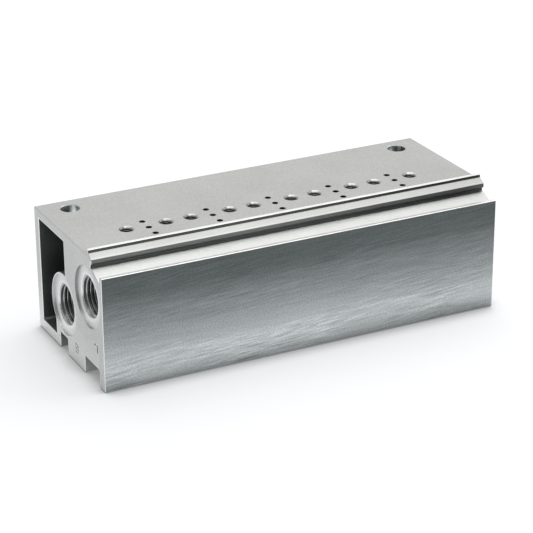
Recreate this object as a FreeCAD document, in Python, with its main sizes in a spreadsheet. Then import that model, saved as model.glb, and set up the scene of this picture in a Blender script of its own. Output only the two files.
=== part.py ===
import FreeCAD, Part
import math
import os
import re

from FreeCAD import Vector
import Sketcher

# A one-piece valve manifold: an extruded aluminium rail with a milled valve face on top,
# two galleries along its length with threaded ports at both ends, a hollow chamber at the
# back, and two channels that leave three feet underneath.
# X runs along the rail, -Y is the plain front wall, +Y is the back and +Z is up.
# The origin is the middle of the rail, on the plane that its feet stand on.

# Sizes in millimetres. "Back" is measured from the back wall, "height" from the feet.
SIZES = [
    ("rail_length", 101.0, "end to end"),
    ("rail_width", 40.0, "front wall to back wall"),
    ("face_height", 30.5, "feet to the milled valve face"),
    ("rib_back", 31.6, "back wall to the rear of the upright rib"),
    ("rib_width", 1.2, "thickness of the rib"),
    ("rib_height", 1.2, "rib above the valve face"),
    ("rib_front_drop", 0.65, "rib top to the start of the bevel"),
    ("bevel_width", 1.7, "bevel, back to front"),
    ("bevel_drop", 1.1, "bevel, top to bottom"),
    ("ledge_height", 0.95, "upright face under the bevel"),
    ("undercut_depth", 0.6, "slot under the ledge, into the rail"),
    ("undercut_height", 1.05, "slot under the ledge, top to bottom"),
    ("slope_drop", 1.9, "slope below the undercut, top to bottom"),
    ("gutter_width", 0.6, "flat of the gutter behind the lip"),
    ("lip_width", 1.1, "upright lip along the front wall"),
    ("lip_height", 1.5, "lip above the gutter behind it"),
    ("chamber_back", 2.6, "back wall to the chamber"),
    ("chamber_roof", 2.1, "valve face to the chamber"),
    ("chamber_floor", 2.75, "feet to the chamber floor"),
    ("chamber_front", 18.15, "back wall to the chamber's upper front wall"),
    ("chamber_low_front", 11.2, "back wall to the chamber's lower front wall"),
    ("boss_radius", 7.65, "round wall of the exhaust gallery inside the chamber"),
    ("channel_back", 13.4, "back wall to the rear channel"),
    ("channel_width", 4.7, "rear channel underneath"),
    ("channel_height", 4.1, "rear channel underneath"),
    ("wide_channel_back", 28.4, "back wall to the front channel"),
    ("wide_channel_width", 8.6, "front channel underneath"),
    ("wide_channel_height", 4.4, "front channel underneath"),
    ("foot_radius", 0.5, "long edges that the feet stand on"),
    ("edge_radius", 0.2, "all other long edges of the section"),
    ("end_chamfer", 0.12, "broken edges of both end faces"),
    ("supply_back", 31.5, "back wall to the axis of port 1"),
    ("supply_height", 20.0, "feet to the axis of port 1"),
    ("exhaust_back", 16.8, "back wall to the axis of port 3"),
    ("exhaust_height", 12.2, "feet to the axis of port 3"),
    ("gallery_radius", 4.3, "both galleries, end to end"),
    ("port_thread_radius", 4.864, "major radius of a G 1/8 thread"),
    ("port_thread_depth", 10.0, "depth of the port threads"),
    ("port_entry_radius", 5.1, "countersink at the mouth of a port"),
    ("spot_face_radius", 7.3, "sealing face round each port"),
    ("spot_face_depth", 0.5, "end face to the sealing face"),
    ("station_count", 5, "valve stations"),
    ("station_pitch", 16.0, "from one valve to the next"),
    ("screw_spacing", 9.8, "between the two screws of one valve"),
    ("screw_back", 22.65, "back wall to the line of valve screws"),
    ("screw_radius", 1.5, "major radius of an M3 thread"),
    ("screw_depth", 6.5, "depth of the valve screw threads"),
    ("screw_entry_radius", 1.85, "countersink of the valve screws"),
    ("passage_back", 23.95, "back wall to the middle passage of a valve"),
    ("passage_step", 3.75, "from one passage of a valve to the next"),
    ("passage_radius", 0.75, "passages that open under a valve"),
    ("outlet_radius", 2.5, "major radius of an M5 thread"),
    ("outlet_depth", 6.0, "outlet threads in the middle foot"),
    ("outlet_entry_radius", 2.8, "countersink at the mouth of an outlet"),
    ("mounting_inset", 7.0, "end face to a mounting hole"),
    ("mounting_back", 5.05, "back wall to a mounting hole"),
    ("mounting_radius", 2.25, "clearance for an M4 screw"),
    ("mounting_entry_radius", 2.4, "broken edge of a mounting hole"),
    ("digit_height", 2.2, "height of a port number on the left end face"),
    ("digit_width", 1.8, "width of a port number"),
    ("digit_stroke", 0.36, "width of an engraved line"),
    ("digit_depth", 0.15, "depth of an engraved line"),
    ("supply_digit_forward", 4.1, "axis of port 1 forward to the middle of its number"),
    ("supply_digit_drop", 10.6, "axis of port 1 down to the middle of its number"),
    ("exhaust_digit_forward", 7.0, "axis of port 3 forward to the middle of its number"),
    ("exhaust_digit_drop", 8.0, "axis of port 3 down to the middle of its number"),
]
NAMES = re.compile(r"\b(" + "|".join(alias for alias, _, _ in SIZES) + r")\b")

doc = FreeCAD.newDocument("valve_manifold")
sheet = doc.addObject("Spreadsheet::Sheet", "sizes")
for row, (alias, amount, meaning) in enumerate(SIZES, start=1):
    sheet.set(f"A{row}", alias)
    sheet.set(f"B{row}", str(amount))
    sheet.set(f"C{row}", meaning)
    sheet.setAlias(f"B{row}", alias)
doc.recompute()

rail = doc.addObject("PartDesign::Body", "manifold_rail")
rail.Label = "manifold_rail"

# Places worked out from the sizes, as expressions. On the end planes "across" is Y.
LEFT_END = "-rail_length / 2"
BACK_WALL = "rail_width / 2"
FRONT_WALL = "-rail_width / 2"
FIRST_STATION = "-(station_count - 1) * station_pitch / 2"

# Lengths below this count as nothing when edges are picked out.
TOUCH = 0.001


def bound(text):
    """The same expression with every size read from the sheet."""
    return NAMES.sub(r"<<sizes>>.\1", text)


def number(text):
    """What an expression comes to now, in millimetres."""
    result = rail.evalExpression(bound(text))
    return float(getattr(result, "Value", result))


def from_back(text):
    """A distance from the back wall as a place across the rail."""
    return f"rail_width / 2 - ({text})"


def origin_feature(role):
    return next(f for f in rail.Origin.OriginFeatures if f.Role == role)


def sketch_on(name, role, offset="0"):
    """A sketch on one of the rail's own planes, moved along that plane's normal."""
    sketch = rail.newObject("Sketcher::SketchObject", name)
    sketch.AttachmentSupport = [(origin_feature(role), "")]
    sketch.MapMode = "FlatFace"
    sketch.setExpression("AttachmentOffset.Base.z", bound(offset))
    return sketch


def pin(sketch, geometry, point, across, up):
    """Holds one point of a sketch at a place given by two expressions."""
    for kind, text in (("DistanceX", across), ("DistanceY", up)):
        held = sketch.addConstraint(Sketcher.Constraint(kind, -1, 1, geometry, point, number(text)))
        sketch.setExpression(f"Constraints[{held}]", bound(text))


def join(sketch, geometry, point, other, other_point):
    sketch.addConstraint(Sketcher.Constraint("Coincident", geometry, point, other, other_point))


def outline(sketch, corners):
    """A closed run of straight lines through corners given as pairs of expressions."""
    places = [Vector(number(across), number(up), 0) for across, up in corners]
    start = sketch.GeometryCount
    count = len(corners)
    for i in range(count):
        sketch.addGeometry(Part.LineSegment(places[i], places[(i + 1) % count]), False)
    for i, (across, up) in enumerate(corners):
        join(sketch, start + i, 2, start + (i + 1) % count, 1)
        pin(sketch, start + i, 1, across, up)


def rectangle(sketch, left, right, low, high):
    outline(sketch, [(left, low), (right, low), (right, high), (left, high)])


def circle(sketch, across, up, radius):
    middle = Vector(number(across), number(up), 0)
    index = sketch.addGeometry(Part.Circle(middle, Vector(0, 0, 1), number(radius)), False)
    pin(sketch, index, 3, across, up)
    held = sketch.addConstraint(Sketcher.Constraint("Radius", index, number(radius)))
    sketch.setExpression(f"Constraints[{held}]", bound(radius))


def feature(kind, name, sketch, **settings):
    """A feature made from a sketch. A text setting that names a size is bound to it."""
    made = rail.newObject(f"PartDesign::{kind}", name)
    made.Profile = sketch
    doc.recompute()
    for key, setting in settings.items():
        if isinstance(setting, str) and NAMES.search(setting):
            made.setExpression(key, bound(setting))
        else:
            setattr(made, key, setting)
    sketch.Visibility = False
    doc.recompute()
    return made


def cut(kind, name, sketch, **settings):
    """A cutting feature, which has to leave less material than there was."""
    before = rail.Shape.Volume
    made = feature(kind, name, sketch, **settings)
    if rail.Shape.Volume >= before:
        raise RuntimeError(f"{name} cuts nothing")
    return made


def drilled_thread(name, sketch, radius, depth, entry, inwards):
    """A blind hole at a thread's major radius, with a 90 degree countersink."""
    return cut("Hole", name, sketch, Diameter=f"2 * {radius}", DepthType="Dimension", Depth=depth,
               DrillPoint="Flat", HoleCutType="Countersink", HoleCutCustomValues=True,
               HoleCutDiameter=f"2 * {entry}", HoleCutCountersinkAngle=90.0, Reversed=inwards)


def dress(kind, name, amount, edges):
    """A fillet or chamfer of the given edges of the rail as it is now."""
    worked = rail.Tip
    made = rail.newObject(f"PartDesign::{kind}", name)
    made.Base = (worked, edges)
    made.setExpression("Radius" if kind == "Fillet" else "Size", bound(amount))
    doc.recompute()
    return made


def long_edges(on_feet):
    """Names of the section's edges along the rail, where two faces meet at an angle."""
    shape = rail.Shape
    names = []
    for i, edge in enumerate(shape.Edges, start=1):
        box = edge.BoundBox
        along = box.XLength > number("rail_length") - TOUCH and box.YLength + box.ZLength < TOUCH
        between_faces = len(shape.ancestorsOfType(edge, Part.Face)) == 2
        if along and between_faces and (box.ZMin < TOUCH) == on_feet:
            names.append(f"Edge{i}")
    return names


def end_edges():
    """Names of the edges that lie in the two end faces."""
    reach = number("rail_length / 2")
    names = []
    for i, edge in enumerate(rail.Shape.Edges, start=1):
        box = edge.BoundBox
        if box.XLength < TOUCH and abs(abs(box.Center.x) - reach) < TOUCH:
            names.append(f"Edge{i}")
    return names


# The outer section, from the foot of the back wall up and over the top to the front wall.
def add_section():
    sketch = sketch_on("section", "YZ_Plane")
    rib_top = "face_height + rib_height"
    bevel_top = f"{rib_top} - rib_front_drop"
    ledge_top = f"{bevel_top} - bevel_drop"
    ledge_foot = f"{ledge_top} - ledge_height"
    slope_top = f"{ledge_foot} - undercut_height"
    gutter = f"{slope_top} - slope_drop"
    rib_front = "rib_back + rib_width"
    ledge = f"{rib_front} + bevel_width"
    lip_back = "rail_width - lip_width"
    lip_top = f"{gutter} + lip_height"
    outline(sketch, [
        (BACK_WALL, "0"),
        (BACK_WALL, "face_height"),
        (from_back("rib_back"), "face_height"),
        (from_back("rib_back"), rib_top),
        (from_back(rib_front), rib_top),
        (from_back(rib_front), bevel_top),
        (from_back(ledge), ledge_top),
        (from_back(ledge), ledge_foot),
        (from_back(f"{ledge} - undercut_depth"), f"{ledge_foot} - undercut_height / 3"),
        (from_back(f"{ledge} - undercut_depth"), slope_top),
        (from_back(ledge), slope_top),
        (from_back(f"{lip_back} - gutter_width"), gutter),
        (from_back(lip_back), gutter),
        (from_back(lip_back), lip_top),
        (FRONT_WALL, lip_top),
        (FRONT_WALL, "0"),
    ])
    feature("Pad", "extrusion", sketch, Length="rail_length", SideType="Symmetric")


# The hollow chamber at the back. The exhaust gallery's round wall stands in it.
def add_chamber():
    sketch = sketch_on("chamber_section", "YZ_Plane")
    roof = "face_height - chamber_roof"
    outline(sketch, [
        (from_back("chamber_back"), "chamber_floor"),
        (from_back("chamber_back"), roof),
        (from_back("chamber_front"), roof),
        (from_back("chamber_front"), "exhaust_height"),
        (from_back("chamber_low_front"), "exhaust_height"),
        (from_back("chamber_low_front"), "chamber_floor"),
    ])
    cut("Pocket", "chamber", sketch, Type="ThroughAll", SideType="Symmetric")
    wall = sketch_on("gallery_wall_section", "YZ_Plane")
    circle(wall, from_back("exhaust_back"), "exhaust_height", "boss_radius")
    feature("Pad", "gallery_wall", wall, Length="rail_length", SideType="Symmetric")


# The channels underneath. They leave a rear foot, a middle foot and a thin front foot.
def add_channels():
    sketch = sketch_on("channel_sections", "YZ_Plane")
    rectangle(sketch, from_back("channel_back"), from_back("channel_back + channel_width"),
              "0", "channel_height")
    rectangle(sketch, from_back("wide_channel_back"), from_back("wide_channel_back + wide_channel_width"),
              "0", "wide_channel_height")
    cut("Pocket", "channels", sketch, Type="ThroughAll", SideType="Symmetric")


def add_edges():
    dress("Fillet", "foot_edges", "foot_radius", long_edges(on_feet=True))
    dress("Fillet", "section_edges", "edge_radius", long_edges(on_feet=False))
    dress("Chamfer", "end_edges", "end_chamfer", end_edges())


def both_ports(sketch, radius):
    circle(sketch, from_back("supply_back"), "supply_height", radius)
    circle(sketch, from_back("exhaust_back"), "exhaust_height", radius)


# Port 1 and port 3: a gallery each, from end to end, with a spot face and a thread at both ends.
def add_ports():
    galleries = sketch_on("gallery_sections", "YZ_Plane")
    both_ports(galleries, "gallery_radius")
    cut("Pocket", "galleries", galleries, Type="ThroughAll", SideType="Symmetric")
    faces = sketch_on("spot_face_circles", "YZ_Plane", LEFT_END)
    both_ports(faces, "spot_face_radius")
    spot_faces = cut("Pocket", "spot_faces", faces, Length="spot_face_depth", Reversed=True)
    mouths = sketch_on("port_circles", "YZ_Plane", f"{LEFT_END} + spot_face_depth")
    both_ports(mouths, "port_thread_radius")
    threads = drilled_thread("port_threads", mouths, "port_thread_radius", "port_thread_depth",
                             "port_entry_radius", inwards=True)
    mirror = rail.newObject("PartDesign::Mirrored", "right_end_ports")
    mirror.Originals = [spot_faces, threads]
    mirror.MirrorPlane = (origin_feature("YZ_Plane"), [""])
    rail.Tip = mirror
    doc.recompute()


def half_ring(sketch, across, up, outer, inner):
    """Half a ring that bulges forward, such as a bowl of a 3 read from outside the left end."""
    middle = Vector(number(across), number(up), 0)
    arcs = []
    for radius in (outer, inner):
        whole = Part.Circle(middle, Vector(0, 0, 1), number(radius))
        arc = sketch.addGeometry(Part.ArcOfCircle(whole, math.pi / 2, 3 * math.pi / 2), False)
        pin(sketch, arc, 3, across, up)
        held = sketch.addConstraint(Sketcher.Constraint("Radius", arc, number(radius)))
        sketch.setExpression(f"Constraints[{held}]", bound(radius))
        arcs.append(arc)
    for point, side in ((1, 1), (2, -1)):
        near = middle + Vector(0, side * number(outer), 0)
        far = middle + Vector(0, side * number(inner), 0)
        line = sketch.addGeometry(Part.LineSegment(near, far), False)
        join(sketch, arcs[0], point, line, 1)
        join(sketch, arcs[1], point, line, 2)
        for arc in arcs:
            held = sketch.addConstraint(Sketcher.Constraint("DistanceX", -1, 1, arc, point, number(across)))
            sketch.setExpression(f"Constraints[{held}]", bound(across))


def engrave(name, sketch):
    cut("Pocket", name, sketch, Length="digit_depth", Reversed=True)


# The port numbers. Read from outside the left end, right is -Y, so each place is taken off.
def add_port_numbers():
    middle = from_back("supply_back + supply_digit_forward")
    level = "supply_height - supply_digit_drop"
    high = f"{level} + digit_height / 2"
    low = f"{level} - digit_height / 2"
    right = f"{middle} - digit_width / 2"
    stem = f"{right} + digit_stroke"
    left = f"{middle} + digit_width / 2"
    one = sketch_on("number_one", "YZ_Plane", LEFT_END)
    outline(one, [(right, high), (right, low), (stem, low), (stem, f"{high} - 1.2 * digit_stroke"),
                  (left, f"{high} - 2.2 * digit_stroke"), (left, f"{high} - 1.2 * digit_stroke"),
                  (stem, high)])
    engrave("port_number_one", one)

    middle = from_back("exhaust_back + exhaust_digit_forward")
    level = "exhaust_height - exhaust_digit_drop"
    bowl = "(digit_height + digit_stroke) / 4"
    bowl_rise = f"({bowl} - digit_stroke / 2)"
    bowl_middle = f"({middle} - digit_width / 2 + {bowl})"
    left = f"{middle} + digit_width / 2"
    bars = sketch_on("number_three_bars", "YZ_Plane", LEFT_END)
    for rise in (-2, 0, 2):
        height = f"{level} + {rise} * {bowl_rise}"
        rectangle(bars, left, bowl_middle, f"{height} - digit_stroke / 2", f"{height} + digit_stroke / 2")
    engrave("port_number_three_bars", bars)
    for name, rise in (("upper", 1), ("lower", -1)):
        ring = sketch_on(f"number_three_{name}", "YZ_Plane", LEFT_END)
        half_ring(ring, bowl_middle, f"{level} + {rise} * {bowl_rise}", bowl, f"{bowl} - digit_stroke")
        engrave(f"port_number_three_{name}", ring)


# One valve station: two tapped holes, three passages in a row and the outlet below the middle one.
def add_stations():
    screws = sketch_on("screw_circles", "XY_Plane", "face_height")
    for side in ("-", "+"):
        circle(screws, f"{FIRST_STATION} {side} screw_spacing / 2", from_back("screw_back"), "screw_radius")
    tapped = drilled_thread("valve_screws", screws, "screw_radius", "screw_depth",
                            "screw_entry_radius", inwards=False)
    passages = {
        "exhaust_passage": ("passage_back - passage_step", "face_height - exhaust_height"),
        "outlet_passage": ("passage_back", "face_height"),
        "supply_passage": ("passage_back + passage_step", "face_height - supply_height"),
    }
    made = [tapped]
    for name, (back, depth) in passages.items():
        sketch = sketch_on(f"{name}_circle", "XY_Plane", "face_height")
        circle(sketch, FIRST_STATION, from_back(back), "passage_radius")
        made.append(cut("Pocket", name, sketch, Length=depth))
    outlet = sketch_on("outlet_circle", "XY_Plane")
    circle(outlet, FIRST_STATION, from_back("passage_back"), "outlet_radius")
    made.append(drilled_thread("outlets", outlet, "outlet_radius", "outlet_depth",
                               "outlet_entry_radius", inwards=True))
    row = rail.newObject("PartDesign::LinearPattern", "stations")
    row.Originals = made
    row.Direction = (origin_feature("X_Axis"), [""])
    row.setExpression("Length", bound("(station_count - 1) * station_pitch"))
    row.setExpression("Occurrences", bound("station_count"))
    rail.Tip = row
    doc.recompute()


# Through holes at both ends of the back, from the valve face down to the rear foot.
def add_mounting_holes():
    sketch = sketch_on("mounting_circles", "XY_Plane", "face_height")
    for side in ("-", ""):
        circle(sketch, f"{side}(rail_length / 2 - mounting_inset)", from_back("mounting_back"),
               "mounting_radius")
    cut("Hole", "mounting_holes", sketch, Diameter="2 * mounting_radius", DepthType="ThroughAll",
        HoleCutType="Countersink", HoleCutCustomValues=True,
        HoleCutDiameter="2 * mounting_entry_radius", HoleCutCountersinkAngle=90.0)


doc.recompute()
add_section()
add_chamber()
add_channels()
add_edges()
add_ports()
add_port_numbers()
add_stations()
add_mounting_holes()
doc.recompute()

for thing in doc.Objects:
    if {"Invalid", "Error"} & set(thing.State):
        raise RuntimeError(f"{thing.Name}: {thing.State}")
if rail.Shape.isNull() or not rail.Shape.isValid() or len(rail.Shape.Solids) != 1:
    raise RuntimeError("the rail is not one valid solid")

os.makedirs("parts", exist_ok=True)
rail.Shape.exportStep(f"parts/{rail.Label}.step")
box = rail.Shape.BoundBox
print("size", round(box.XLength, 3), round(box.YLength, 3), round(box.ZLength, 3))
print("volume", round(rail.Shape.Volume, 1), "faces", len(rail.Shape.Faces))
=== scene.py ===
import math

import bpy
from mathutils import Matrix, Vector


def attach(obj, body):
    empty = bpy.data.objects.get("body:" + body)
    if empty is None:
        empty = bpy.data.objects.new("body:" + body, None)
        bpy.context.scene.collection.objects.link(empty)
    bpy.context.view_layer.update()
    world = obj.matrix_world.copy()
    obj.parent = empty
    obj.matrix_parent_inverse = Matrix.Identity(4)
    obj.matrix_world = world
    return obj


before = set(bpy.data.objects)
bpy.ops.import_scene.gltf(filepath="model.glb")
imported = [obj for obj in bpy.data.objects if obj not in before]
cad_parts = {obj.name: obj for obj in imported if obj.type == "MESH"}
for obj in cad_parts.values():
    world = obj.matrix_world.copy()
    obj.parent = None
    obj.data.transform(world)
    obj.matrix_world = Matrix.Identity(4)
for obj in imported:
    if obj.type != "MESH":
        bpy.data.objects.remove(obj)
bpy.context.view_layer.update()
MM = 0.001

# The rail's own places, in millimetres, as in its CAD source. X runs along the rail, y towards the back.
END = 50.5
SPOT_PLANE = 50.0
SPOT_RADIUS = 7.3
PORT_ENTRY = 5.1
FACE = 30.5
FRONT = -20.0
SUPPLY = (-11.5, 20.0)
EXHAUST = (3.2, 12.2)
CHAMBER_REAR, CHAMBER_FRONT, CHAMBER_LOW_FRONT = 17.4, 1.85, 8.8
CHAMBER_FLOOR, CHAMBER_ROOF = 2.75, 28.4
RIB_TOP, LEDGE_TOP, UNDERCUT_TOP, UNDERCUT_BOTTOM = 31.7, 29.95, 29.0, 27.95
LIP_TOP = 27.55
CHANNEL_TOP = 4.4
STATIONS = (-32.0, -16.0, 0.0, 16.0, 32.0)
SCREW_LINE, SCREW_REACH = -2.65, 4.9
OUTLET_LINE = -3.95
MOUNTING = (43.5, 14.95)


def linear(*amounts):
    """Display levels from 0 to 255 as linear light."""
    return tuple(((a / 255 + 0.055) / 1.055) ** 2.4 if a > 10 else a / 255 / 12.92 for a in amounts)


class Field:
    """An amount that varies over a surface: one socket of a node tree."""

    def __init__(self, tree, socket):
        self.tree = tree
        self.socket = socket

    def give(self, target):
        self.tree.links.new(self.socket, target)

    def op(self, operation, *others):
        node = self.tree.nodes.new("ShaderNodeMath")
        node.operation = operation
        for target, item in zip(node.inputs, (self, *others)):
            put(item, target)
        return Field(self.tree, node.outputs[0])

    def __add__(self, other):
        return self.op("ADD", other)

    def __sub__(self, other):
        return self.op("SUBTRACT", other)

    def __mul__(self, other):
        return self.op("MULTIPLY", other)

    def size(self):
        return self.op("ABSOLUTE")

    def least(self, other):
        return self.op("MINIMUM", other)

    def most(self, other):
        return self.op("MAXIMUM", other)

    def inverse(self):
        """One less the amount, for a mask."""
        return (self * -1.0) + 1.0

    def over(self, low, high, out_low=0.0, out_high=1.0):
        """A smooth step: out_low at low, out_high at high."""
        node = self.tree.nodes.new("ShaderNodeMapRange")
        node.interpolation_type = "SMOOTHSTEP"
        self.give(node.inputs["Value"])
        node.inputs["From Min"].default_value = low
        node.inputs["From Max"].default_value = high
        node.inputs["To Min"].default_value = out_low
        node.inputs["To Max"].default_value = out_high
        return Field(self.tree, node.outputs["Result"])

    def under(self, low, high):
        """A mask that is 1 up to low and 0 past high."""
        return self.over(low, high, 1.0, 0.0)

    def inside(self, low, high, soft):
        """A mask that is 1 between two amounts."""
        return self.over(low - soft, low + soft) * self.under(high - soft, high + soft)

    def ramp(self, stops):
        """A colour for each amount from 0 to 1, straight between the stops."""
        node = self.tree.nodes.new("ShaderNodeValToRGB")
        node.color_ramp.interpolation = "LINEAR"
        self.give(node.inputs["Fac"])
        marks = node.color_ramp.elements
        while len(marks) < len(stops):
            marks.new(1.0)
        for mark, (share, _) in zip(marks, stops):
            mark.position = share
        for mark, (_, colour) in zip(marks, stops):
            mark.color = (*colour, 1.0)
        return Field(self.tree, node.outputs["Color"])


def put(item, target):
    if isinstance(item, Field):
        item.give(target)
    else:
        target.default_value = item


def vector(tree, x, y, z):
    node = tree.nodes.new("ShaderNodeCombineXYZ")
    for target, item in zip(node.inputs, (x, y, z)):
        put(item, target)
    return Field(tree, node.outputs[0])


def parts(field):
    node = field.tree.nodes.new("ShaderNodeSeparateXYZ")
    field.give(node.inputs[0])
    return [Field(field.tree, output) for output in node.outputs]


def flat(tree, colour):
    """One colour all over, as a field."""
    node = tree.nodes.new("ShaderNodeRGB")
    node.outputs[0].default_value = (*colour, 1.0)
    return Field(tree, node.outputs[0])


def noise(tree, where, scale, detail, rough, seed):
    """Cloudy noise from 0 to 1, with seed as a fourth coordinate."""
    node = tree.nodes.new("ShaderNodeTexNoise")
    node.noise_dimensions = "4D"
    where.give(node.inputs["Vector"])
    node.inputs["W"].default_value = seed
    node.inputs["Scale"].default_value = scale
    node.inputs["Detail"].default_value = detail
    node.inputs["Roughness"].default_value = rough
    return Field(tree, node.outputs["Fac"])


def mixed(mask, first, second):
    """The first colour where the mask is 0 and the second where it is 1."""
    tree = mask.tree
    node = tree.nodes.new("ShaderNodeMix")
    node.data_type = "RGBA"
    mask.give(node.inputs["Factor"])
    for name, item in (("A", first), ("B", second)):
        target = next(s for s in node.inputs if s.name == name and s.type == "RGBA")
        put(item if isinstance(item, Field) else (*item, 1.0), target)
    return Field(tree, next(s for s in node.outputs if s.type == "RGBA"))


def scaled(colour, amount):
    """A colour made lighter or darker by a varying amount."""
    tree = colour.tree
    node = tree.nodes.new("ShaderNodeVectorMath")
    node.operation = "SCALE"
    colour.give(node.inputs[0])
    put(amount, node.inputs["Scale"])
    return Field(tree, node.outputs[0])


def new_material(name):
    material = bpy.data.materials.new(name)
    material.use_nodes = True
    tree = material.node_tree
    tree.nodes.clear()
    shader = tree.nodes.new("ShaderNodeBsdfPrincipled")
    output = tree.nodes.new("ShaderNodeOutputMaterial")
    tree.links.new(shader.outputs[0], output.inputs["Surface"])
    return material, tree, shader


def surface_fields(tree):
    """Place in millimetres and facing, each as x, y and z."""
    place = tree.nodes.new("ShaderNodeTexCoord")
    geometry = tree.nodes.new("ShaderNodeNewGeometry")
    metres = Field(tree, place.outputs["Object"])
    return parts(scaled(metres, 1.0 / MM)), parts(Field(tree, geometry.outputs["True Normal"]))


def stored_amount(tree, name):
    node = tree.nodes.new("ShaderNodeAttribute")
    node.attribute_name = name
    return Field(tree, node.outputs["Fac"])


def bump(tree, height, distance):
    node = tree.nodes.new("ShaderNodeBump")
    node.inputs["Strength"].default_value = 1.0
    node.inputs["Distance"].default_value = distance
    height.give(node.inputs["Height"])
    return Field(tree, node.outputs["Normal"])


def from_axis(y, z, axis):
    """Distance from a gallery's axis."""
    across, up = y - axis[0], z - axis[1]
    return (across * across + up * up).op("SQRT")


class RailSurface:
    """A point of the rail's surface: its place in millimetres, its facing, its distance from the
    galleries' axes, and the textures there."""

    def __init__(self, tree):
        self.tree = tree
        (x, y, z), (self.nx, self.ny, self.nz) = surface_fields(tree)
        self.x, self.y, self.z = x, y, z
        self.reach = x.size()
        self.exhaust = from_axis(y, z, EXHAUST)
        self.nearest = from_axis(y, z, SUPPLY).least(self.exhaust)
        self.end_face = self.nx.size().over(0.9, 0.97)
        self.sealing = self.end_face * self.reach.under(SPOT_PLANE + 0.1, SPOT_PLANE + 0.2)

        # Die lines run along the rail on a height that wanders a little.
        slow = vector(tree, x * 0.02, y * 0.2, z * 0.1)
        wander = noise(tree, slow, scale=1.0, detail=1.0, rough=0.5, seed=3.0)
        self.level = z + (wander - 0.5) * 2.5
        lines = vector(tree, x * 0.15, y * 5.0, self.level * 5.0)
        self.fine = noise(tree, lines, scale=1.0, detail=4.0, rough=0.7, seed=1.0)
        lines = vector(tree, x * 0.03, y * 0.8, self.level * 0.8)
        self.broad = noise(tree, lines, scale=1.0, detail=3.0, rough=0.55, seed=2.0)
        place = vector(tree, x, y, z)
        self.grain = noise(tree, place, scale=2.6, detail=3.0, rough=0.7, seed=5.0)
        self.clouds = noise(tree, place, scale=0.09, detail=2.0, rough=0.5, seed=6.0)
        radians_per_mm, unevenness = 22.0, 2.0
        self.rings = (self.nearest * radians_per_mm + self.grain * unevenness).op("SINE")


def brush_strokes(at):
    """Brush strokes on the front wall. Each set has its own rise along the rail, fineness, seed and the
    limits of the patches that it shows in."""
    sets = ((0.0, 2.4, 8.0, 0.3, 0.7), (0.14, 2.2, 9.0, 0.36, 0.56), (0.05, 2.2, 10.0, 0.44, 0.6))
    strokes = None
    for rise, fineness, seed, low, high in sets:
        along = vector(at.tree, at.x * 0.1, at.y, (at.level - at.x * rise) * fineness)
        lines = noise(at.tree, along, scale=1.0, detail=4.0, rough=0.75, seed=seed)
        patches = vector(at.tree, at.x * 0.04, at.y * 0.2, at.z * 0.14)
        where = noise(at.tree, patches, scale=1.0, detail=1.0, rough=0.5, seed=seed + 10.0)
        part = (lines - 0.5) * where.over(low, high)
        strokes = part if strokes is None else strokes + part
    return strokes


def front_wall_painted_reflection(at):
    """Painted reflection bands up the plain front wall, lightest a little above the foot and darkest at the
    top, brushed and grainy, with painted shade at its foot, and darker at its lower left corner and towards
    its right end.
    """
    banded_height = 25.0
    # Painted reflection: the tone bands stand in for the room reflected in the wall.
    painted_reflection_bands = ((0.0, 172), (0.04, 174), (0.08, 185), (0.13, 196), (0.2, 202), (0.3, 197), (0.34, 183),
             (0.44, 168), (0.52, 157), (0.6, 145), (0.7, 135), (0.8, 119), (0.88, 104), (1.0, 97))
    painted_reflection_tones = [(share, linear(tone - 5, tone, tone)) for share, tone in painted_reflection_bands]
    wall = (at.z * (1.0 / banded_height)).ramp(painted_reflection_tones)
    brushing = brush_strokes(at) * at.z.over(5.0, 11.0, 1.7, 1.1) + 1.0
    wall = scaled(wall, at.broad.over(0.3, 0.7, 0.94, 1.06) * brushing)
    wall = scaled(wall, at.grain.over(0.25, 0.75, 0.83, 1.17))
    # Painted shade at the foot, where the wall meets the floor.
    foot_painted_shade = (at.z - at.x * 0.05).over(-0.2, 2.4, 0.93, 1.0)
    left_corner = ((at.x + (END + 1.5)) * 0.25 + at.z.size() * 0.6).over(0.5, 3.2, 0.86, 1.0)
    right_end = (at.x.over(-5.0, 45.0, 0.0, 0.12) * at.z.under(16.0, 24.0)).inverse()
    return scaled(wall, foot_painted_shade * left_corner * right_end)


def front_facing_painted_shade(at):
    """Painted shade on what faces the front behind the front wall: the rib's ledge, the undercut and the
    gutter, darker towards the right end, and the channels' walls, the rear channel's darker."""
    ledge = at.z.inside(UNDERCUT_TOP - 0.05, LEDGE_TOP + 0.25, 0.1)
    undercut = at.z.inside(UNDERCUT_BOTTOM - 0.35, UNDERCUT_TOP - 0.05, 0.1)
    low = mixed(undercut, linear(96, 100, 99), linear(118, 122, 121))
    moulding_painted_shade = mixed(ledge, low, linear(148, 152, 151))
    # Painted shade, deepening towards the right end.
    moulding_painted_shade = scaled(moulding_painted_shade, at.x.over(-15.0, 48.0, 0.85, 0.33))
    # Painted shade in the channels, deeper in the rear channel.
    channel_painted_shade = mixed(at.y.over(3.0, 8.0), linear(200, 205, 203), linear(154, 158, 157))
    return mixed(at.z.under(CHANNEL_TOP - 0.1, CHANNEL_TOP + 0.2), moulding_painted_shade, channel_painted_shade)


def upward_painted_light(at):
    """Painted light on what faces up in front of the valve face: the gutter, the rib and the lip, with
    painted highlights on the rib's top and on the lip.
    """
    light = mixed(at.z.over(28.0, 29.0), linear(204, 205, 203), linear(216, 216, 213))
    light = mixed(at.z.over(RIB_TOP - 0.4, RIB_TOP - 0.2), light, linear(255, 254, 252))
    return mixed(at.y.under(FRONT + 1.6, FRONT + 2.0), light, linear(252, 252, 249))


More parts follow.
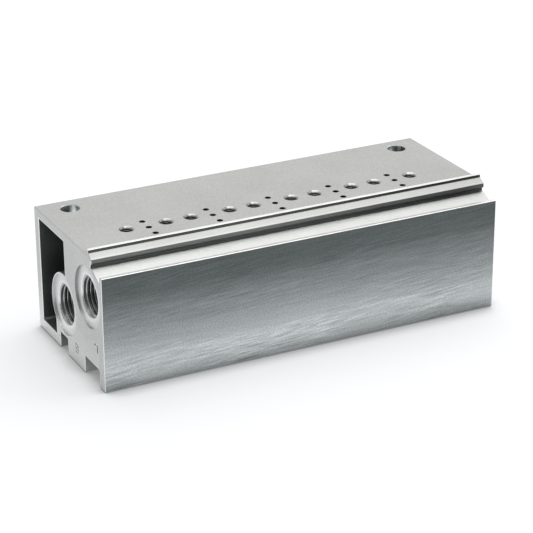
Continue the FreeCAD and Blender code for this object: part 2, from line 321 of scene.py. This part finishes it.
def chamber_colour(at):
    """The rear chamber's walls, its floor with painted light from above, and a painted highlight along the
    corner of its floor at the back.
    """
    mouth = at.reach.over(END - 6.5, END - 0.1)
    corner_painted_highlight = (at.y.over(CHAMBER_REAR - 0.5, CHAMBER_REAR - 0.3)
              * at.z.under(CHAMBER_FLOOR + 0.35, CHAMBER_FLOOR + 0.55))
    chamber = mixed(mouth, linear(156, 159, 158), linear(160, 163, 162))
    # Painted light on the chamber's floor, which faces up.
    chamber = mixed(at.nz.over(0.5, 0.9), chamber, linear(204, 207, 206))
    return mixed(corner_painted_highlight, chamber, linear(235, 237, 236))


def recess_painted_light(at):
    """The short round walls of the spot faces, with painted light where they face up, and all painted light
    around the exhaust port.
    """
    # Painted light where the wall faces up.
    painted_shade = mixed(at.nz.over(-0.1, 0.7), linear(180, 184, 183), linear(240, 242, 241))
    by_exhaust = at.exhaust.under(SPOT_RADIUS + 0.3, SPOT_RADIUS + 0.7)
    return mixed(by_exhaust, painted_shade, linear(242, 244, 243))


def mounting_hole_painted_light(at):
    """The mounting holes' walls: painted shade where they face left, with a painted highlight streak beside
    that.
    """
    painted_shade = mixed(at.nx.over(-0.88, -0.8), linear(158, 162, 163), linear(194, 198, 199))
    return mixed(at.nx.inside(-0.83, -0.6, 0.03), painted_shade, linear(238, 239, 237))


def extruded_colour(at):
    """All that isn't milled, except the plain front wall, with painted light on what faces up, painted
    shade on what faces the front, and painted highlights on the lip and on the broken edges.
    """
    forward = at.ny.under(-0.9, -0.25)
    upward = at.nz.over(0.2, 0.6)
    # Painted light on faces that face up, painted shade on faces that face the front.
    colour = mixed(upward, linear(172, 174, 173), upward_painted_light(at))
    colour = mixed(forward, colour, front_facing_painted_shade(at))
    # Painted highlight along the lip's top edge.
    lip_painted_highlight = at.y.under(FRONT + 0.8, FRONT + 1.0) * at.z.over(LIP_TOP - 0.19, LIP_TOP - 0.13)
    colour = mixed(lip_painted_highlight, colour, linear(252, 252, 249))

    in_chamber = (at.y.inside(CHAMBER_FRONT - 0.05, CHAMBER_REAR + 0.1, 0.05)
                  * at.z.inside(CHAMBER_FLOOR - 0.05, CHAMBER_ROOF + 0.1, 0.05)
                  * at.exhaust.over(6.0, 6.5) * at.nx.size().under(0.3, 0.5))
    colour = mixed(in_chamber, colour, chamber_colour(at))
    recess = (at.nearest.inside(SPOT_RADIUS - 0.2, SPOT_RADIUS + 0.15, 0.05)
              * at.reach.over(SPOT_PLANE - 0.1, SPOT_PLANE))
    colour = mixed(recess, colour, recess_painted_light(at))

    # The limits are squares of distances, just past the radius of 2.4 mm at the hole's mouth.
    across, along = at.reach - MOUNTING[0], at.y - MOUNTING[1]
    by_hole = (across * across + along * along).under(6.2, 6.6)
    mounting_hole = by_hole * at.z.over(CHAMBER_ROOF - 0.1, CHAMBER_ROOF + 0.1)
    colour = mixed(mounting_hole, colour, mounting_hole_painted_light(at))
    # Painted highlight on the end faces' broken edges, left off at the foot.
    edge_painted_highlight = at.nx.size().inside(0.3, 0.9, 0.05) * at.reach.over(END - 0.25, END - 0.15)
    colour = mixed(edge_painted_highlight * at.z.over(0.3, 0.5), colour, linear(238, 239, 237))
    return scaled(colour, at.fine.over(0.3, 0.7, 0.91, 1.07))


def milled_colour(at):
    """The valve face and the end faces, with turned rings, painted highlights on the rims, beside the port
    mouths and on the engraved numbers, painted light towards the left end's foot and painted shade along
    the foot edge.
    """
    right_end = at.x.over(-1.0, 1.0)
    end_tone = mixed(right_end, linear(200, 201, 199), linear(184, 186, 185))
    colour = mixed(at.end_face, linear(192, 193, 190), end_tone)
    # Painted highlight: the sealing faces lighter next to the port mouths.
    ring = at.nearest.over(PORT_ENTRY + 0.1, PORT_ENTRY + 1.1)
    colour = mixed(at.sealing, colour, mixed(ring, linear(222, 224, 223), linear(207, 209, 208)))
    # Painted light from the floor: the left end face made lighter towards its foot.
    floor_light = at.z.over(0.5, 13.0, 0.34, 0.0) * at.y.over(FRONT + 2.5, FRONT + 3.5, 0.35, 1.0)
    colour = scaled(colour, floor_light * right_end.inverse() + 1.0)

    # Painted highlights: the engraved numbers' floors and the rims of the chamber's opening are made near
    # white.
    engraved_painted_highlight = at.end_face * at.reach.inside(SPOT_PLANE + 0.25, SPOT_PLANE + 0.42, 0.03)
    rear = CHAMBER_REAR + 0.25
    upper_rim = (at.y.inside(CHAMBER_FRONT - 0.25, rear, 0.05)
                 * at.z.inside(EXHAUST[1], CHAMBER_ROOF + 0.25, 0.05))
    lower_rim = (at.y.inside(CHAMBER_LOW_FRONT - 0.25, rear, 0.05)
                 * at.z.inside(CHAMBER_FLOOR - 0.25, EXHAUST[1], 0.05))
    beside_port = at.exhaust.over(SPOT_RADIUS + 0.05, SPOT_RADIUS + 0.15)
    painted_highlight_rim = at.end_face * upper_rim.most(lower_rim) * beside_port
    colour = mixed(engraved_painted_highlight.most(painted_highlight_rim), colour, linear(250, 251, 249))
    # Painted shade along the end faces' foot edge.
    foot_edge_painted_shade = at.end_face * at.z.under(0.15, 0.5)
    colour = mixed(foot_edge_painted_shade, colour, linear(150, 151, 152))
    turned = (at.rings * at.sealing).over(-1.0, 1.0, 0.93, 1.07)
    return scaled(colour, at.grain.over(0.35, 0.65, 0.94, 1.05) * turned)


# Extruded and machined aluminium. Each finish has its own place on the rail.
def aluminium():
    material, tree, shader = new_material("aluminium_rail")
    at = RailSurface(tree)
    milled_top = at.nz.over(0.9, 0.97) * at.z.inside(FACE - 0.1, FACE + 0.1, 0.05)
    machined = milled_top.most(at.end_face)
    front_wall = at.ny.under(-0.97, -0.9) * at.y.under(FRONT + 0.3, FRONT + 0.5)
    colour = mixed(front_wall, extruded_colour(at), front_wall_painted_reflection(at))
    colour = mixed(machined, colour, milled_colour(at))
    uneven = at.grain.over(0.35, 0.65, 0.97, 1.03) * at.clouds.over(0.3, 0.7, 0.97, 1.03)
    scaled(colour, uneven).give(shader.inputs["Base Color"])
    shader.inputs["Metallic"].default_value = 1.0
    roughness = machined * 0.12 + at.fine.over(0.2, 0.8, 0.3, 0.42) - at.sealing * 0.14
    roughness.give(shader.inputs["Roughness"])
    relief = at.fine * machined.inverse() + at.grain * machined + at.rings * at.sealing * 0.3
    bump(tree, relief, 0.03 * MM).give(shader.inputs["Normal"])
    return material


def thread_aluminium(name, painted_highlight_rim, half_light, painted_shade, side_painted_shade):
    """Cut threads in painted light and shade: a countersink painted bright as a highlight down to the rim
    depth, then crests painted light and roots painted dark, lighter where they face up, that lose the light
    as they go in, and painted darker where they face along +x, by the side factor."""
    material, tree, shader = new_material(name)
    (x, y, z), (nx, _, nz) = surface_fields(tree)
    grain = noise(tree, vector(tree, x, y, z), scale=4.0, detail=2.0, rough=0.6, seed=7.0)
    depth = stored_amount(tree, "depth")
    # Painted light on the crests and painted shade in the roots; painted light where they face up.
    cut = mixed(stored_amount(tree, "crest"), linear(104, 108, 107), linear(196, 199, 198))
    cut = mixed(nz.over(-0.1, 0.75, 0.0, 0.75), cut, linear(226, 228, 227))
    # Painted shade, deepening with depth.
    cut = scaled(cut, (depth * (1.0 / half_light)).over(0.0, 2.0, painted_shade, painted_shade * 0.4))
    # Painted highlight on the countersink.
    countersink_painted_highlight = flat(tree, linear(238, 239, 238))
    colour = mixed(depth.over(painted_highlight_rim * 0.8, painted_highlight_rim * 1.4), countersink_painted_highlight, cut)
    # Painted shade on the sides facing along +x.
    colour = scaled(colour, nx.over(-0.25, 0.15, 1.0, side_painted_shade))
    scaled(colour, grain.over(0.3, 0.7, 0.9, 1.06)).give(shader.inputs["Base Color"])
    shader.inputs["Metallic"].default_value = 1.0
    grain.over(0.2, 0.8, 0.24, 0.36).give(shader.inputs["Roughness"])
    return material


def thread(mouths, major, minor, pitch, entry, depth, around, rows_per_turn):
    """Rows of thread ridges in tapped holes, as points, faces, and each point's depth and whether it is
    on a crest. Each mouth is its middle and the way it faces."""
    verts, faces, depths, crests = [], [], [], []
    start = 0.02
    off_wall, into_wall = 0.012, 0.05
    flank_slope, root_flat = 1.6, 0.3
    rows = int((depth - 2 * start) / pitch * rows_per_turn)

    def ring(middle, facing, deep, shape_at):
        side = facing.orthogonal().normalized()
        other = facing.cross(side)
        for i in range(around):
            turn = i / around
            angle = 2 * math.pi * turn
            out = math.cos(angle) * side + math.sin(angle) * other
            radius, crest = shape_at(turn)
            verts.append((middle - facing * deep + radius * out) * MM)
            depths.append(deep)
            crests.append(crest)

    def cut(deep, turn):
        phase = (turn + deep / pitch) % 1.0
        ridge = min(max(flank_slope * abs(2 * phase - 1) - root_flat, 0.0), 1.0)
        radius = max(major - (major - minor) * ridge, entry - deep)
        return min(radius, max(entry - deep, major) - off_wall), ridge

    for middle, facing in mouths:
        middle, facing = Vector(middle), Vector(facing)
        first = len(verts)
        for row in range(rows + 1):
            deep = start + (depth - 2 * start) * row / rows
            ring(middle, facing, deep, lambda turn: cut(deep, turn))
        for deep in (depth - start, max(entry - major, start), start):
            ring(middle, facing, deep, lambda turn: (max(entry - deep, major) + into_wall, 0.0))
        rings = rows + 4
        for row in range(rings):
            a = first + row * around
            b = first + (row + 1) % rings * around
            faces += [(a + i, b + i, b + (i + 1) % around, a + (i + 1) % around) for i in range(around)]
    return verts, faces, depths, crests


def piece(name, verts, faces, material, smooth=True):
    mesh = bpy.data.meshes.new(name)
    mesh.from_pydata(verts, [], faces)
    mesh.update()
    mesh.polygons.foreach_set("use_smooth", [smooth] * len(mesh.polygons))
    mesh.materials.append(material)
    made = bpy.data.objects.new(name, mesh)
    bpy.context.scene.collection.objects.link(made)
    return made


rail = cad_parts["manifold_rail"]
finish = aluminium()
if rail.data.materials:
    for i in range(len(rail.data.materials)):
        rail.data.materials[i] = finish
else:
    rail.data.materials.append(finish)

# G 1/8 in the ports, M3 in the screw holes and M5 in the outlets: where, form and look of each.
ports = [((s * SPOT_PLANE, *axis), (s, 0, 0)) for s in (-1, 1) for axis in (SUPPLY, EXHAUST)]
screws = [((x + side * SCREW_REACH, SCREW_LINE, FACE), (0, 0, 1)) for x in STATIONS for side in (-1, 1)]
outlets = [((x, OUTLET_LINE, 0.0), (0, 0, -1)) for x in STATIONS]
THREADS = (
    ("port_threads", ports,
     dict(major=4.864, minor=4.283, pitch=0.907, entry=PORT_ENTRY, depth=10.0, around=64, rows_per_turn=10),
     dict(painted_highlight_rim=0.24, half_light=4.0, painted_shade=1.0, side_painted_shade=1.0)),
    ("screw_threads", screws,
     dict(major=1.5, minor=1.23, pitch=0.5, entry=1.85, depth=6.5, around=32, rows_per_turn=8),
     dict(painted_highlight_rim=0.3, half_light=0.8, painted_shade=0.5, side_painted_shade=0.3)),
    ("outlet_threads", outlets,
     dict(major=2.5, minor=2.07, pitch=0.8, entry=2.8, depth=6.0, around=40, rows_per_turn=8),
     dict(painted_highlight_rim=0.3, half_light=2.0, painted_shade=0.7, side_painted_shade=1.0)),
)
for name, mouths, form, look in THREADS:
    verts, faces, depths, crests = thread(mouths, **form)
    made = piece(name, verts, faces, thread_aluminium(name, **look))
    for stored, amounts in (("depth", depths), ("crest", crests)):
        made.data.attributes.new(stored, "FLOAT", "POINT").data.foreach_set("value", amounts)
    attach(made, "root")


# The floor is white to the camera and in reflections, and keeps the rail's soft shadow, deepened near the
# rail by painted contact shade from an occlusion node.
def add_floor():
    half_width = 3.0
    below_feet = 0.02 * MM
    shadow_reach = 6.5 * MM
    base_colour = (0.91, 0.92, 0.955)
    glow_strength, glow_share = 1.25, 0.42
    material, tree, shader = new_material("floor_white")
    # Painted contact shade: an occlusion node darkens the floor's colour and glow near the rail.
    occlusion = tree.nodes.new("ShaderNodeAmbientOcclusion")
    occlusion.inputs["Distance"].default_value = shadow_reach
    occlusion.samples = 16
    contact_painted_shade = Field(tree, occlusion.outputs["AO"]).over(0.3, 0.96, 0.43, 1.0)
    scaled(flat(tree, base_colour), contact_painted_shade).give(shader.inputs["Base Color"])
    shader.inputs["Roughness"].default_value = 1.0
    shader.inputs["Specular IOR Level"].default_value = 0.0
    path = tree.nodes.new("ShaderNodeLightPath")
    seen = Field(tree, path.outputs["Is Camera Ray"])
    for name in ("Is Glossy Ray", "Is Transmission Ray"):
        seen = seen.most(Field(tree, path.outputs[name]))
    glow = tree.nodes.new("ShaderNodeEmission")
    (contact_painted_shade * glow_strength).give(glow.inputs["Strength"])
    blend = tree.nodes.new("ShaderNodeMixShader")
    (seen * glow_share).give(blend.inputs["Fac"])
    tree.links.new(shader.outputs[0], blend.inputs[1])
    tree.links.new(glow.outputs[0], blend.inputs[2])
    output = next(node for node in tree.nodes if node.type == "OUTPUT_MATERIAL")
    tree.links.new(blend.outputs[0], output.inputs["Surface"])
    corners = [(x * half_width, y * half_width, 0) for x, y in ((-1, -1), (1, -1), (1, 1), (-1, 1))]
    floor = piece("floor", corners, [(0, 1, 2, 3)], material, smooth=False)
    floor.location.z = -below_feet


def add_lamp(name, place, size, power):
    """A square lamp that shines at the middle of the rail."""
    light = bpy.data.lights.new(name, "AREA")
    light.shape = "RECTANGLE"
    light.size = light.size_y = size
    light.energy = power
    lamp = bpy.data.objects.new(name, light)
    lamp.location = place
    aim = Vector((0, 0, 0.01))
    lamp.rotation_euler = (aim - Vector(place)).to_track_quat("-Z", "Y").to_euler()
    bpy.context.scene.collection.objects.link(lamp)


def add_world():
    """A white room, darker towards the left end and the front."""
    world = bpy.data.worlds.new("studio")
    bpy.context.scene.world = world
    world.use_nodes = True
    tree = world.node_tree
    tree.nodes.clear()
    coords = tree.nodes.new("ShaderNodeTexCoord")
    dx, dy, dz = parts(Field(tree, coords.outputs["Generated"]))
    level = dz.over(0.0, 0.9, 0.8, 0.95) * dy.over(-0.9, 0.3, 0.45, 1.0) * dx.over(-0.8, 0.5, 0.48, 1.2)
    background = tree.nodes.new("ShaderNodeBackground")
    level.give(background.inputs["Strength"])
    output = tree.nodes.new("ShaderNodeOutputWorld")
    tree.links.new(background.outputs[0], output.inputs["Surface"])


# The photograph's camera, solved from the rail's corners, edges and holes.
FOCAL_PIXELS = 2033.7
PHOTO_WIDTH = 533
ELEVATION, ROLL, AZIMUTH = (math.radians(a) for a in (23.428, -0.291, -26.741))
OFFSET = Vector((0.36, -11.84, -487.45)) * MM


def add_camera():
    data = bpy.data.cameras.new("camera")
    data.sensor_width = 36.0
    data.lens = FOCAL_PIXELS * data.sensor_width / PHOTO_WIDTH
    data.clip_start, data.clip_end = 0.01, 20.0
    back = Vector((math.sin(AZIMUTH) * math.cos(ELEVATION), -math.cos(AZIMUTH) * math.cos(ELEVATION),
                   math.sin(ELEVATION)))
    right = Vector((math.cos(AZIMUTH), math.sin(AZIMUTH), 0.0))
    up = back.cross(right)
    side = math.cos(ROLL) * right + math.sin(ROLL) * up
    top = math.cos(ROLL) * up - math.sin(ROLL) * right
    turn = Matrix((side, top, back)).transposed()
    camera = bpy.data.objects.new("camera", data)
    camera.matrix_world = Matrix.Translation(-(turn @ OFFSET)) @ turn.to_4x4()
    bpy.context.scene.collection.objects.link(camera)
    bpy.context.scene.camera = camera


add_floor()
add_lamp("key", (0.12, 0.15, 0.9), 1.1, 4.4)
add_lamp("side", (0.85, -0.15, 0.48), 0.7, 1.8)
add_world()
add_camera()
bpy.context.scene.view_settings.view_transform = "Standard"
